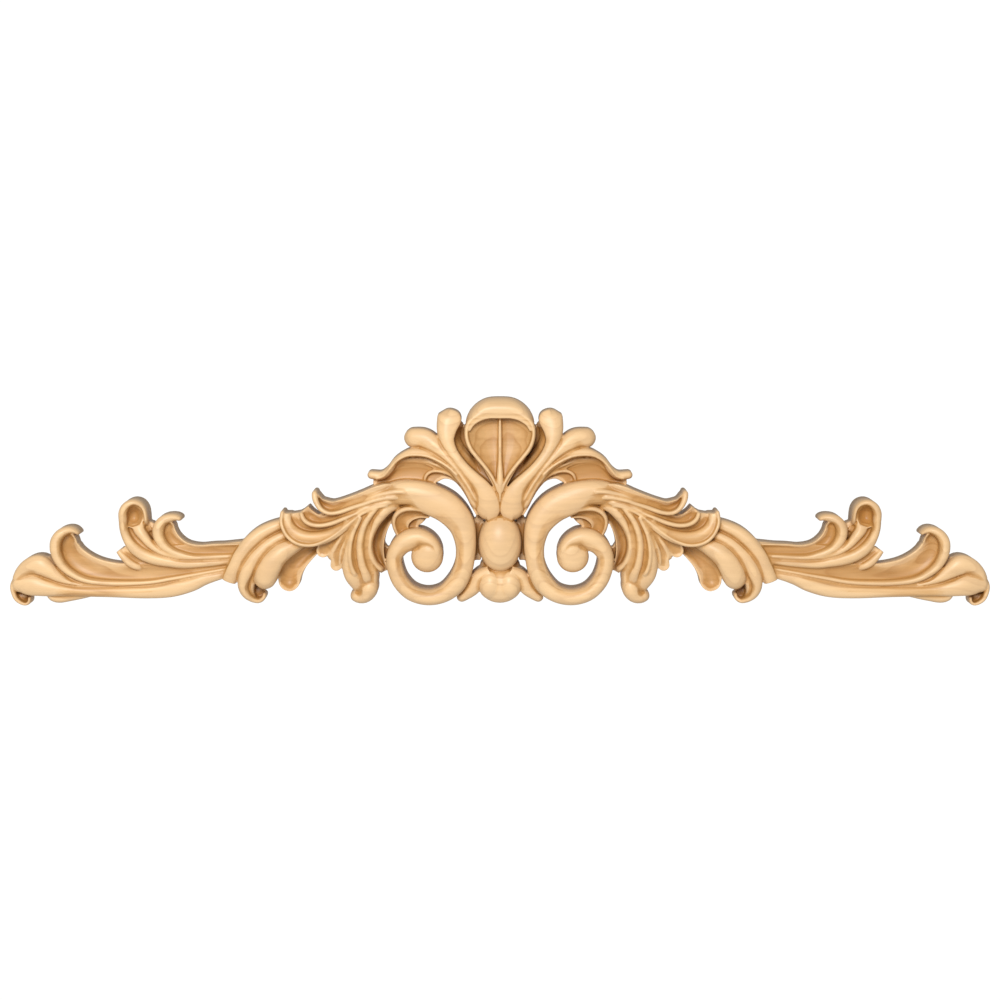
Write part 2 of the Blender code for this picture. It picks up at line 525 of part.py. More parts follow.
carved = cut_and_mirror(fuse(half_block()))
mesh = bpy.data.meshes.new(NAME)
carved.to_mesh(mesh)
carved.free()
mesh.materials.append(wood())
onlay = bpy.data.objects.new(NAME, mesh)
bpy.context.scene.collection.objects.link(onlay)
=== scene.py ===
# %% [markdown]
# # A carved wood onlay
#
# The real piece is one pale hardwood board, sawn to its outline, pierced, and carved in relief on one side.
# It is about 61 cm long and is glued flat against a mantel, a door or a headboard. This lesson builds it in
# Blender the way a carver plans it: stroke by stroke on a pattern grid, for one half, and then mirrored.
#
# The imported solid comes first. It is the coarse, faceted form of the same carving, and it fixes where the
# finished piece sits and how large it may be.

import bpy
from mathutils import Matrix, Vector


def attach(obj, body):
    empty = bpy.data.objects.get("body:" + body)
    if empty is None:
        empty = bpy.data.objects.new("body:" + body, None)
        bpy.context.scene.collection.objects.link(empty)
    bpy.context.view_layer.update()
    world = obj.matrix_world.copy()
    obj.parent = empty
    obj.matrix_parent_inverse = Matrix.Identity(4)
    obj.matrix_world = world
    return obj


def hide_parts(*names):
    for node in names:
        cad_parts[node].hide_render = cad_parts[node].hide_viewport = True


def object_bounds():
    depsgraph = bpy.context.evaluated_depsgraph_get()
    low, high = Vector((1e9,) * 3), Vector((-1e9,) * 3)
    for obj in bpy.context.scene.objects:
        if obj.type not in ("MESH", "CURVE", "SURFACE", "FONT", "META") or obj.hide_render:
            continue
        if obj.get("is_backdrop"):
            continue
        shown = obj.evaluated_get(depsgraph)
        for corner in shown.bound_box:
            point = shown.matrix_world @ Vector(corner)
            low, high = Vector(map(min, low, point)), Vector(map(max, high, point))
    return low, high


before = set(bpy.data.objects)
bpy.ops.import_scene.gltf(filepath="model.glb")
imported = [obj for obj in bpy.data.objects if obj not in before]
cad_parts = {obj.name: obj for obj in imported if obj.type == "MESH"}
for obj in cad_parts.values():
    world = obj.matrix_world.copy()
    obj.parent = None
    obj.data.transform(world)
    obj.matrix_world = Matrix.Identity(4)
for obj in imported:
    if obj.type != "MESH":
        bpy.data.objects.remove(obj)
solid_low, solid_high = (list(corner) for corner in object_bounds())
print("the solid's box in metres:", solid_low, solid_high)

# %% [markdown]
# ## Sizes
#
# A carver draws the pattern on squared paper and scales it to the board. Here the grid's steps do that work:
# places on it are (out, up), the distance out from the centreline and the height above the base line. The
# heights of the relief are in percent of the board's thickness, 0 at the back and 100 at its face.
# This pattern was drawn from a photo, in which high places look a little farther out than they are, as they
# are nearer to the lens. So the grid also says where the lens was (EYE) and how far in front of it (SIGHT).
# The skin's cell is how finely the blocks are joined, well under a millimetre, so that thin ribs keep an edge.

# %% Sizes and the pattern grid
import math
from collections import namedtuple

import bmesh
import bpy
import numpy as np
from mathutils import Vector
from mathutils.bvhtree import BVHTree

LENGTH = 0.610
HEIGHT = 0.130
DEPTH = 0.028

PATTERN_LENGTH = 970.8
PATTERN_HEIGHT = 205.7
PATTERN_BASE = -1.8
EYE = (0, 355)
SIGHT = 1.4

CELL = LENGTH / 1500
TRIANGLES = 190000

print("one step of the pattern is", round(1000 * LENGTH / PATTERN_LENGTH, 3), "mm")

# %% [markdown]
# ## Strokes
#
# Gouge work is a set of long sweeps: each rib, band and hollow follows a curve and swells and thins along it.
# So the pattern is a list of strokes. A stroke has a path, a width, the height of its crest and how far its
# edges fall from it. With a negative fall the middle lies lower than the edges, which is a flute.
# The few round forms, such as the egg and the scrolls' eyes, are domes. Sculpting by hand could give the
# same shapes, but strokes stay exact, and each can be changed by its own few numbers.

# %% The kinds of stroke
Ribbon = namedtuple("Ribbon", "path wide crest drop lower dished ends")
Dome = namedtuple("Dome", "at radii base crest")


def ribbon(path, wide, crest, drop=12, lower=None, dished=False, ends=("open", "round")):
    """A stroke along path, wide to each side of it. Its edges lie drop below its crest, and a
    negative drop makes a flute. Seen along the path, drop is for the left edge and lower for the right."""
    return Ribbon(path, wide, crest, drop, drop if lower is None else lower, dished, ends)


def flute(path, wide, crest, drop=-8, lower=None, ends=("open", "open")):
    """A dished ribbon, as a gouge leaves it."""
    return ribbon(path, wide, crest, drop, lower, True, ends)


def ground(path, wide, level, ends=("open", "open")):
    """Flat wood left between the strokes, so that no slot opens between them."""
    return ribbon(path, wide, level, 0, 0, True, ends)


print("a rib:", ribbon([(0, 0), (10, 0)], 3, 80).crest, "percent high at its crest")

# %% [markdown]
# ## The scroll
#
# A C-scroll is a band that rolls up on itself round a button-like eye. Its path is a spiral: a list of
# distances from the eye, one each sixteenth of a turn, after a lead-in that comes out of the leaf.
# The distances are uneven on purpose, because a carved scroll hangs a little and tightens faster at its end.

# %% The scroll
def scroll():
    """The C-scroll, from the leaf over the top and round to its eye."""
    eye = (73, 43)
    turn = [58.7, 52.8, 47.6, 41.6, 38.3, 38, 39.4, 40.8, 40.8, 39.6, 36.8, 34.2, 32.8,
            28.7, 24, 21, 17, 14.6, 12.8, 11.4, 10.4, 10]
    path = [(160, 91), (130, 101), (105, 106.5), (88, 107)]
    for step, reach in enumerate(turn):
        angle = math.radians(22.5 * step)
        path.append((eye[0] - reach * math.sin(angle), eye[1] + reach * math.cos(angle)))
    wide = [2, 7.5, 11.5, 12.3, 15, 15, 13.2, 10.6, 9.5, 9.6, 9.8, 8.4, 7.8, 7.8, 8, 8, 8, 9.4,
            10.4, 9, 7.8, 6.4, 5.4, 4.6, 4.6, 4.6]
    return [
        ribbon(path, wide, [72, 91, 92, 90, 88, 88, 90, 91, 91], 20, ends=("open", "sink")),
        Dome(eye, (15.8, 15.6), 66, 91),
        Dome((70.5, 47.5), (13, 13.5), 74, 91.5),
    ]


print(len(scroll()), "strokes in the scroll")

# %% [markdown]
# ## The leaf on the scroll
#
# Outward from the scroll grows an acanthus leaf with three lobes. Each lobe is a hollow with a thin raised
# rim, and all of them run together into the scroll, as veins run into a stalk. The strokes end in a
# sink, which lowers them gently until the scroll's own surface covers them. Two small fingers hang below.

# %% The leaf on the scroll and its fingers
def scroll_leaf():
    """The leaf that grows outward from the scroll: three dished lobes with thin raised rims."""
    return [
        ground([(206, 76), (190, 75), (172, 80), (152, 88), (132, 97), (116, 103)],
               [7, 8, 9, 8, 7, 5], [52, 54, 62, 70, 76, 74]),
        # The upper lobe
        flute([(183, 107), (181, 102), (177, 96.8), (167, 93.3), (157, 95.7), (145, 99.7), (134, 103.7),
               (123, 107.8), (111, 110.5), (98, 111)],
              [2.5, 3.8, 5.6, 6.4, 6, 6, 6.2, 6.6, 6.6, 5], [66, 58, 56, 60, 66, 72, 78, 82, 78, 64],
              [-10, -14, -13, -11, -9, -7, -5, -3, -1], ends=("round", "open")),
        ribbon([(160, 93.5), (146, 97), (133, 101), (120, 105.5), (105, 108.5), (88, 109)],
               2.8, [64, 76, 85, 90, 92], 9, ends=("open", "sink")),
        ribbon([(184.5, 110), (184.5, 104), (182.6, 97.5), (178, 91), (170.5, 87.6), (160, 88.6), (147, 93),
                (136, 96.5), (125, 100.2), (112, 103), (97, 103.5)],
               [2.6, 3, 2.8, 2.4, 2.3, 2.3, 2.3, 2.3, 2.4, 2.6, 3], [74, 79, 84, 86, 87, 88, 90, 91], 8,
               ends=("round", "sink")),
        # The middle lobe
        flute([(195, 91.5), (189, 85), (180, 80.8), (170, 82), (159, 86), (147, 90.5), (135, 95.3),
               (122, 99.5)],
              [5.4, 6, 5.4, 4.6, 3.8, 3.2, 2.6, 2.2], [60, 54, 58, 66, 74, 80, 84, 80], [-8, -10, -8, -5, -3]),
        ribbon([(198.5, 89), (196.5, 82.5), (192, 78), (185, 75.6), (176, 75.6), (166, 78), (155, 82.3),
                (144, 87), (132, 92.5), (119, 97), (104, 99)],
               [2, 2.3, 2.3, 2.3, 2.3, 2.3, 2.3, 2.3, 2.3, 2.6, 3], [70, 78, 83, 85, 86, 86, 87, 88], 8,
               ends=("round", "sink")),
        # The lower lobe
        flute([(206, 87.5), (204.5, 80), (197.5, 73), (187, 70.5), (175, 72.5), (163, 77), (151, 83),
               (140, 89)],
              [9, 8, 7, 6, 4.8, 3.8, 3, 2.2], [58, 56, 58, 62, 68, 74, 79, 80], [-8, -8, -6, -4, -2]),
        ribbon([(212.5, 87.5), (212.5, 79), (209, 70.5), (202, 64.8), (192, 61.8), (180, 62.5), (168, 66.5),
                (157, 73), (147, 80.5), (138, 87)],
               [4, 5.5, 6.8, 7.2, 7.2, 6.6, 5.6, 4.4, 3.2, 2.4], [70, 73, 76, 79, 81, 83, 84, 80], 3, lower=11,
               ends=("open", "sink")),
        ribbon([(216.5, 90), (218, 80), (216.3, 72.2), (212, 64.5), (205.2, 58.8), (196.4, 56), (186.5, 56),
                (178, 58.7), (169, 63.2), (158, 71), (147, 80), (136, 88), (122, 93.5), (108, 96.5)],
               2.1, [74, 80, 84, 85, 86, 86, 87, 88], 8, ends=("round", "sink")),
    ]


def fingers():
    """Two small dished fingers under the leaf, each with a rib on its inner side."""
    return [
        flute([(150, 79), (160, 69), (170.5, 59), (180, 45)],
              [3, 5, 7, 6.5], [80, 70, 62, 54], -6, ends=("open", "round")),
        ribbon([(148, 78), (158, 64), (166, 51), (170, 41)], 3, [80, 74, 68, 58], 10),
        flute([(148, 77), (155, 62), (161, 47), (164.5, 30.5)],
              [3, 5, 6, 5.5], [78, 70, 62, 54], -4, ends=("open", "round")),
        ribbon([(148, 75), (153, 62), (158, 49), (160, 35)], 2.6, [80, 76, 70, 60], 8),
    ]


print(len(scroll_leaf()) + len(fingers()), "strokes in the leaf and its fingers")

# %% [markdown]
# ## The hanging leaf and the inner leaf
#
# Beside the scroll hangs a leaf whose tip hooks outward. A deep hollow lies next to it, with a thin rim
# that comes off the scroll in one sweep. Flat ground strokes fill what lies between the ribs, because a real
# carver leaves wood there. Inside the scroll a small dished leaf ties its top to its inner turn.

# %% The hanging leaf and the inner leaf
def drop_leaf():
    """The leaf that hangs beside the scroll, with its tip hooked outward, and the deep hollow next to it."""
    return [
        ground([(136, 91), (140, 72), (142, 50), (140, 32), (136, 14)],
               [7, 10, 12, 13, 10], [80, 76, 72, 65, 54]),
        ground([(110, 99), (120, 93), (129, 84), (135, 70)], [5, 6, 7, 6], [78, 76, 74, 70]),
        ground([(82, 98), (92, 97), (101, 94.5), (110, 85)], [5, 5, 6, 7], [76, 70, 58, 41]),
        ground([(117, 58), (114.5, 51), (113, 42)], [2, 3.5, 4], 26),
        ribbon([(141, 86), (148, 68), (150.5, 50), (150, 36), (147, 25.5), (141, 16), (137, 8)],
               [3, 4, 6, 8, 9, 8.5, 8], [86, 82, 79, 75, 70, 66, 60], 15, ends=("open", "sink")),
        ribbon([(139, 84), (147, 66), (150, 48), (148, 33), (142, 21)],
               2.4, [88, 85, 83, 79, 72], 8, ends=("open", "sink")),
        ribbon([(112, 101), (124, 92), (133, 80), (138, 67), (139.7, 53), (138, 37), (134, 25), (132, 12)],
               [3, 3.4, 3.6, 4, 4.2, 4.6, 5, 6], [86, 87, 86, 83, 79, 73, 66], 12, ends=("open", "sink")),
        ribbon([(132, 48), (127.5, 36), (125.8, 24), (127, 12)],
               [2, 4.2, 4.4, 4], [66, 64, 60, 56], 0, lower=22, ends=("sink", "round")),
        ribbon([(132, 26), (131, 13), (135, 5), (142, 3), (149.5, 7)],
               [7, 9, 8, 6.4, 4.6], [68, 66, 62, 56, 50], 22, ends=("sink", "round")),
        flute([(103, 92), (114, 82), (121, 68), (123, 54), (120, 40), (115, 30)],
              [4, 6.5, 7.5, 7.5, 6, 4], [44, 38, 34, 34, 34, 36], -8, lower=-22),
        ribbon([(103, 98), (112, 92.5), (119.5, 84), (125.5, 74), (129.4, 62), (129.5, 49), (125, 37.5),
                (117, 29.5)],
               [7, 6, 5, 4, 3.2, 3, 3, 3], [88, 86, 83, 80, 77, 74, 68, 60], 14, ends=("sink", "round")),
    ]


def inner_leaf():
    """A small dished leaf that reaches from the top of the scroll to its inner turn."""
    return [
        ground([(94, 79), (87, 77.5), (80, 80), (74, 84)], [6, 4.5, 3, 2], [46, 50, 58], ends=("open", "sink")),
        flute([(70, 85.5), (79, 87), (88, 86), (95, 81.5), (97.5, 75), (96, 66)],
              [2.5, 3.5, 5, 6.2, 6.5, 6], [64, 56, 51, 47], -10),
        ribbon([(66, 86), (75, 90), (86, 92), (96, 91), (103, 86.5), (105.7, 80), (104.5, 72), (100, 63)],
               [2, 2.4, 2.6, 2.6, 2.6, 2.4, 2.2, 2], [88, 82, 75, 65, 54], 10, ends=("sink", "open")),
    ]


print(len(drop_leaf()) + len(inner_leaf()), "strokes in the hanging and the inner leaf")

# %% [markdown]
# ## The husks
#
# Between scroll and arm three husks overlap like roof tiles and one of them ends in a curl. Each is a broad
# round stroke. The curl is one stroke that winds round a low dome, whose shade makes it read as rolled.

# %% The husks
def husks():
    """Three husks that overlap like roof tiles, a dark hollow beside them and one curled tip."""
    return [
        ground([(200, 68), (216, 60), (232, 48), (246, 32)], [8, 12, 14, 10], 48),
        ribbon([(208, 76.5), (221, 75), (238, 67), (251, 56), (261, 42.5), (268, 28), (271.5, 18.5)],
               [4, 5.5, 7, 7.3, 7.2, 7.2, 7], [62, 68, 74, 74, 68], 16, ends=("open", "open")),
        ribbon([(208, 68), (219, 63.5), (233, 54.5), (245, 42.5), (253.5, 29), (257.5, 16), (255, 7),
                (249, 1.5), (241.5, -0.5), (236.5, 3), (235.5, 8)],
               [4, 5.5, 6.5, 7, 7, 5.4, 4.4, 3.2, 2.4, 2, 1.8], [64, 72, 77, 68, 54, 44], [14, 16, 14, 8]),
        ribbon([(246, 28), (248.5, 17), (249, 9), (246, 3)],
               [2.4, 3, 2.8, 2], [62, 58, 52, 46], 10, ends=("open", "open")),
        Dome((242, 8), (7.5, 8), 14, 22),
        ribbon([(190, 62), (213, 51), (223.5, 43), (230.5, 33.5), (235, 24), (239, 11)],
               [4, 9, 10.3, 11.2, 11.5, 10], [66, 80, 84, 84, 80, 70], 20),
        flute([(180, 57), (196, 44), (205, 34.5), (209.5, 25), (210.5, 10.5)],
              [5, 8, 10.3, 11, 10], [28, 30, 32, 32, 34], -14, ends=("open", "round")),
    ]


print(len(husks()), "strokes in the husks")

# %% [markdown]
# ## The arm and its end
#
# The long arm carries two lobes that curl up from it. The second is cupped: its rim stands up like the lip
# of a spoon round a bowl. Below them runs a long hollow with a ridge that curls round its end, and a rib
# that swells into the end leaf. All their starts are hidden under the husks.

# %% The arm
def arm():
    """The long arm: a top lobe and a cupped lobe curl up from it, a rib runs below to the end leaf."""
    return [
        ground([(250, 47), (295, 46), (325, 46), (350, 46), (361, 45)], [13, 10, 10, 8, 5], [56, 52, 50, 48]),
        ground([(349, 79), (346.5, 69), (342, 59), (332, 48)], [3.6, 4, 5, 5], 42, ends=("round", "open")),
        ground([(368, 77), (366, 66), (360, 55), (353, 46)], [9, 8, 6, 5], [54, 54, 58, 60]),
        # The top lobe
        flute([(248, 51), (283, 51), (300, 50.5), (314, 53), (324.5, 60.5), (329.5, 70), (329, 80)],
              [7, 6.5, 6, 6.6, 7.2, 6.8, 5], [54, 50, 44, 46], -12, ends=("open", "round")),
        ribbon([(317.5, 81), (323, 83), (330.5, 82.3), (337, 79), (341, 72.5), (341, 64.5), (337.5, 57),
                (330.5, 50.5), (318, 45.5), (300, 43.3), (258, 45.5)],
               [2, 3.2, 4.2, 5, 5.8, 5.8, 5.4, 4.6, 4, 3.4, 3], [58, 67, 70, 67, 62], 14,
               ends=("round", "open")),
        # The cupped lobe
        ribbon([(361.5, 75.5), (360, 70), (355.5, 63.5), (349.8, 56.8), (342, 50.8), (332, 46.2), (310, 42.5),
                (258, 43)],
               [7.4, 6, 5, 4.5, 4, 3.4, 2.8, 2.4], [63, 69, 68, 65, 60], 14, ends=("open", "open")),
        ribbon([(376.3, 84), (375.8, 72), (372, 61.4), (366, 53), (357, 46.3), (346, 42), (332, 39),
                (310, 36.5), (258, 40)],
               [4.3, 4.2, 4.9, 5.8, 6.2, 6.2, 5.6, 4.6, 3.4], [74, 72, 70, 67, 62], 14, ends=("open", "open")),
        ribbon([(376.4, 80), (376.3, 88), (373, 94.5), (366.5, 98), (359.5, 96.6), (355, 91.5), (353.3, 84),
                (353, 75)],
               [4.2, 4.2, 3.7, 3, 2.6, 2.2, 2, 2.2], [74, 76, 70, 64], ends=("open", "sink")),
        ground([(364, 98), (364, 86), (363, 72)], 10, 38, ends=("round", "round")),
        ground([(355, 86), (354, 77), (350, 69)], 4, 46),
        flute([(363.8, 97), (363.8, 86), (363.4, 74)],
              [9, 10.4, 10], [44, 40, 42], [-22, -26, -21], ends=("round", "round")),
        # A short finger below it, with a flute beside it
        ribbon([(381, 50.2), (375.5, 43), (368, 36.5), (355, 31)],
               [2.9, 3.6, 4, 3], [58, 60, 55], 10, ends=("open", "sink")),
        flute([(376, 53), (369, 44.5), (359, 38.5), (344, 34.5)],
              [3.2, 4, 4, 2.6], [52, 50, 46], -3, ends=("open", "sink")),
        # The long hollow, the ridge that curls round it and the rib below
        flute([(427, 68.5), (430.5, 58), (427, 47), (416, 37), (400, 30.5), (380, 27.5), (357, 28), (332, 29),
               (305, 31), (258, 36)],
              [6.5, 11, 12.4, 12.7, 11.6, 10.6, 10, 8.5, 6, 4], [40, 34, 40, 48, 56], [-14, -14, -9, -4, -2],
              lower=[-14, -14, -10, -6, -2], ends=("round", "open")),
        ribbon([(419.5, 66.5), (425.5, 70), (432, 70), (439, 66.3), (443.8, 59.5), (444.7, 51), (442.3, 42),
                (437, 33.8), (429, 27), (418, 21.5), (404, 18.6), (380, 17.3), (350, 18.5), (325, 22.5),
                (300, 27), (258, 35)],
               [1.8, 3, 3.9, 4.9, 5.4, 5.4, 5, 4.4, 3.9, 3.5, 3.3, 3.2, 3, 2.8, 2.6, 2.6],
               [54, 66, 70, 66, 62, 60, 60], 14, ends=("round", "open")),
        ribbon([(258, 31), (280, 25.5), (296, 21.5), (310, 16.3), (330, 11.4), (355, 8.8), (390, 8.7),
                (420, 9.2), (440, 10.5), (456, 12.5), (469, 15), (480, 15.5), (488, 12)],
               [4, 4.8, 6.5, 8, 8.5, 7.2, 5.9, 5.8, 6.8, 8.8, 10.6, 9, 5], [60, 62, 61, 60, 66, 52], 15),
    ]


print(len(arm()), "strokes in the arm")

# %% [markdown]
# At its end the arm swells into a leaf whose tip curls under. As on the husk, the curl is one thin stroke that
# winds round a low dome.

# %% The end leaf
def end_leaf():
    """The leaf at the end of the arm, with its tip curled under."""
    return [
        ground([(290, 24), (330, 19), (370, 14), (410, 15), (425, 18), (440, 23), (451, 25), (466, 27)],
               [4, 5, 5, 5, 6, 8, 8, 5], [46, 48, 52, 54, 52, 50, 48, 48]),
        ground([(428, 21), (440, 27), (448, 35), (453, 42)], [4, 5, 5, 4], [52, 48, 44, 40]),
        ribbon([(412, 15), (422, 16.5), (432, 19), (442, 23.6), (451.5, 29.5), (461, 34.8), (470.5, 33.5),
                (479, 27), (485.5, 17)],
               [2, 2.6, 4, 6.2, 8.2, 10, 8.6, 6.8, 4.4], [56, 58, 64, 68, 62, 52], 16, ends=("sink", "round")),
        ribbon([(485.5, 22), (487.6, 13), (485, 3), (480, -1.8), (474.5, -3.4), (471.2, -1), (470.8, 4)],
               [2.6, 2.6, 2.3, 2, 1.7, 1.6, 1.6], [50, 47, 44, 42], 8, ends=("sink", "round")),
        Dome((478, 4), (7.5, 7), 14, 28),
        ribbon([(402, 7.5), (418, 5), (430, 3.6), (441, 2.2), (448, 3.2), (452.5, 7)],
               [2, 3.4, 4.4, 4.8, 4, 2.6], 50),
    ]


print(len(end_leaf()), "strokes in the end leaf")

# %% [markdown]
# ## The fan
#
# Over the scroll three leaves fan out beside the shell, and the first of them ends below in a bulb that
# holds the egg. The lowest is a wide hollow under a waved rim, with two small folds at its inner end.

# %% The fan
def fan():
    """Three leaves that fan out beside the shell. The first ends below in the bulb that holds the egg."""
    return [
        ribbon([(49.5, 190.5), (50, 183), (53, 171), (53, 160), (49, 149.5), (42.5, 139.5), (34.5, 130),
                (26, 121), (18.5, 112), (13.5, 102), (12, 93), (12.5, 80)],
               [11, 12.3, 10, 7.6, 6.2, 5.8, 6, 7, 9, 11.3, 12, 11], [66, 78, 83, 88, 90, 84], 20, lower=9,
               ends=("round", "round")),
        flute([(39, 178), (43.5, 171), (44.5, 162), (41, 153), (34, 143.5), (24, 133), (14.5, 122.5), (6, 111)],
              [3, 4.4, 4.8, 5, 5, 5, 4.6, 3.4], [44, 44, 46, 52, 64], [-18, -18, -16, -12], lower=16),
        ribbon([(95.4, 163), (88, 162), (76, 161), (67, 156), (57.5, 147.5), (50, 139.5), (42.5, 130.5),
                (36, 121.5), (30, 112), (24.5, 102), (19, 93)],
               [8, 9.2, 9.6, 8.6, 6, 4.2, 3.4, 3, 3, 3, 3], [58, 70, 78, 83, 84, 78], 18,
               ends=("round", "sink")),
        ribbon([(132, 126), (125, 125), (117, 125), (110, 130.5), (103.7, 139.5), (97, 144.5), (88, 147.5),
                (79, 147.5), (69, 145), (58, 138.5), (48, 130.5), (39, 120), (32.5, 110), (27, 99), (21, 90)],
               [3.8, 4, 4, 3.4, 2.8, 2.9, 4, 4, 3.8, 3.6, 3.4, 3.4, 3.4, 3.6, 3.6], [56, 62, 69, 72, 80, 78],
               ends=("round", "sink")),
        ground([(112, 126), (104, 136), (96, 142), (86, 143), (74, 141.5), (62, 136), (52, 129)],
               [3, 4, 5, 5, 5, 5, 4], [43, 44, 46, 49, 57]),
        flute([(119, 119), (109, 121), (98, 128.5), (86, 130), (74, 128.5), (63, 128), (54, 127), (44, 122.5),
               (36.5, 114), (31, 105), (26, 96), (20, 88)],
              [4, 7, 12, 13.5, 14, 9.5, 4.8, 3.2, 2.8, 2.6, 3, 4], [38, 37, 41, 48, 58, 66], -5, lower=-16),
        ground([(126, 120), (116, 117), (106, 118)], [3.5, 6, 7], [42, 39, 36], ends=("round", "open")),
        ribbon([(124, 122), (116, 124.5), (109.5, 132), (102.4, 140), (93.6, 144.8), (83.7, 145.8),
                (72.6, 144.5), (61.6, 140), (50.6, 133), (40, 122.5)],
               1.6, [60, 67, 73, 77, 84], 7, ends=("round", "sink")),
        ribbon([(80.5, 138.3), (72.5, 139), (64, 136), (53, 130.6), (44, 124), (38.5, 117.5)],
               1.8, [46, 60, 74], 8, ends=("open", "sink")),
        ribbon([(75, 120), (73, 125.5), (68, 129), (61, 129.5), (52.5, 127.4), (45, 122.5), (38.5, 115)],
               1.8, [48, 58, 74], 8, ends=("open", "sink")),
    ]


print(len(fan()), "strokes in the fan")

# %% [markdown]
# ## The shell
#
# The shell is a scoop: a domed back, a dished face in a rolled rim, and a fine ridge on the centreline. A
# dark slot parts it from the fan, and the slot's floor is a low ground stroke.

# %% The shell
def shell():
    """The shell: a domed back, a dished face inside a rolled rim, and a fine ridge on the centreline."""
    return [
        ribbon([(-8, 191), (4, 191.5), (13, 190.5), (22, 186), (29, 178.5), (32, 170)],
               [9.5, 9.5, 9, 7.4, 5, 2.5], [88, 87, 86], 46, lower=2, ends=("open", "open")),
        ground([(8, 186), (11, 165), (9, 140), (4, 118), (0, 94)], [22, 21, 14, 9, 6], [52, 52, 52, 60, 78]),
        ground([(35, 175), (36.5, 165), (33, 150), (24, 138), (14, 124), (4, 108)],
               [3, 5, 6, 6, 6, 5], [26, 24, 26, 40]),
        flute([(2, 110), (3, 122), (5, 140), (7, 156), (7, 170), (6, 184)],
              [2.5, 7, 15, 25, 27, 22], [84, 76, 68, 62, 59, 58], [-2, -8, -16, -24, -27, -28]),
        ribbon([(-6, 187.3), (6, 187.2), (17, 186.6), (25.5, 182.6), (31, 177), (33.2, 169.4), (32.5, 160.6),
                (29, 151.6), (22.5, 142.8), (16, 135), (10, 127), (5.2, 118.5), (1.5, 109)],
               [2.4, 2.4, 2.2, 2.2, 1.9, 1.6], [86, 88, 88, 90, 90], 10, ends=("open", "open")),
        ribbon([(0, 188), (0, 165), (0, 142), (0, 122), (0, 110), (0, 99)],
               [1.6, 1.9, 2.2, 3.6, 2.8, 0.8], [70, 76, 82, 91, 91, 84], 10, ends=("sink", "open")),
    ]


print(len(shell()), "strokes in the shell")

# %% [markdown]
# ## The egg and the ball
#
# The egg, the ball and its two lobes are turned-looking forms, so they are domes that sink into each other.

# %% The egg and the ball
def beads():
    """The egg, the ball with its two lobes, and what ties them to the scroll."""
    return [
        Dome((0, 95), (12, 15), 20, 78),
        Dome((0, 56), (21.3, 28.5), 62, 100),
        Dome((8, 33), (12, 9), 20, 66),
        Dome((0, 13.6), (20.5, 17), 58, 84),
        Dome((9.5, 15), (12, 15), 60, 88),
        ribbon([(10, 29), (20, 22.5), (27.5, 12), (37, 4), (43, 1)],
               [6, 8, 7.4, 5.4, 4], [78, 74, 68, 60, 54], 16),
        ground([(19, 87), (21, 79), (23, 70), (23, 41)], 4, 38),
    ]


PATTERN = (scroll, scroll_leaf, fingers, drop_leaf, inner_leaf, husks, arm, end_leaf, fan, shell, beads)
print(sum(len(group()) for group in PATTERN), "strokes in half the pattern")

# %% [markdown]
# ## From a stroke to a surface
#
# A stroke's few points become a smooth curve that passes through all of them (a Catmull-Rom curve). Widths
# and heights are read smoothly along it too. The readings lie closer together near both ends, where the
# outline turns fastest.

# %% Smooth lines and values
def smooth_line(points, count):
    """A smooth curve through the points, read more closely towards its ends, and each reading's place
    in the list."""
    p = np.array(points, float)
    ends = np.vstack([2 * p[0] - p[1], p, 2 * p[-1] - p[-2]])
    spans = len(p) - 1
    fine = []
    place = []
    for i in range(spans):
        a, b, c, d = ends[i:i + 4]
        t = np.linspace(0, 1, 24, endpoint=False)[:, None]
        cubic = (2 * a - 5 * b + 4 * c - d) * t**2 + (3 * b - a - 3 * c + d) * t**3
        fine.append(b + 0.5 * ((c - a) * t + cubic))
        place.append((i + t[:, 0]) / spans)
    fine = np.vstack(fine + [p[-1:]])
    place = np.append(np.concatenate(place), 1)
    run = lengths(fine)
    at = run[-1] * (1 - np.cos(np.linspace(0, math.pi, count))) / 2
    line = np.column_stack([np.interp(at, run, fine[:, k]) for k in (0, 1)])
    return line, np.interp(at, run, place)


def lengths(line):
    """The length run along a line up to each of its points."""
    return np.append(0, np.cumsum(np.linalg.norm(np.diff(line, axis=0), axis=1)))


def spread(values, place):
    """Values spread evenly along a stroke, read smoothly at each place between 0 and 1."""
    v = np.atleast_1d(np.array(values, float))
    if len(v) == 1:
        return np.full(len(place), v[0])
    slope = np.gradient(v)
    at = place * (len(v) - 1)
    i = np.minimum(at.astype(int), len(v) - 2)
    t = at - i
    start = (1 + 2 * t) * v[i] + t * slope[i]
    end = (3 - 2 * t) * v[i + 1] + (t - 1) * slope[i + 1]
    return (1 - t)**2 * start + t**2 * end


print("a curve of five readings:", smooth_line([(0, 0), (5, 3), (10, 0)], 5)[0].round(2).tolist())

# %% [markdown]
# Across the stroke the section is an arc for a rib and a shallow dish with soft lips for a flute. The ends are
# left open where another stroke covers them, or are rounded, or sink away. Before that, the stroke's line is
# moved from where the photo shows it to where it lies on the real carving: the higher, the nearer to the eye.

# %% The top of a stroke
def as_built(line, height):
    """Where points of the pattern lie on the carving. The higher a point stands, the nearer to the eye's
    place it comes, so that it looks as drawn."""
    near = np.reshape(height, (-1, 1)) / 100 * DEPTH / SIGHT
    return line + (np.array(EYE) - line) * near


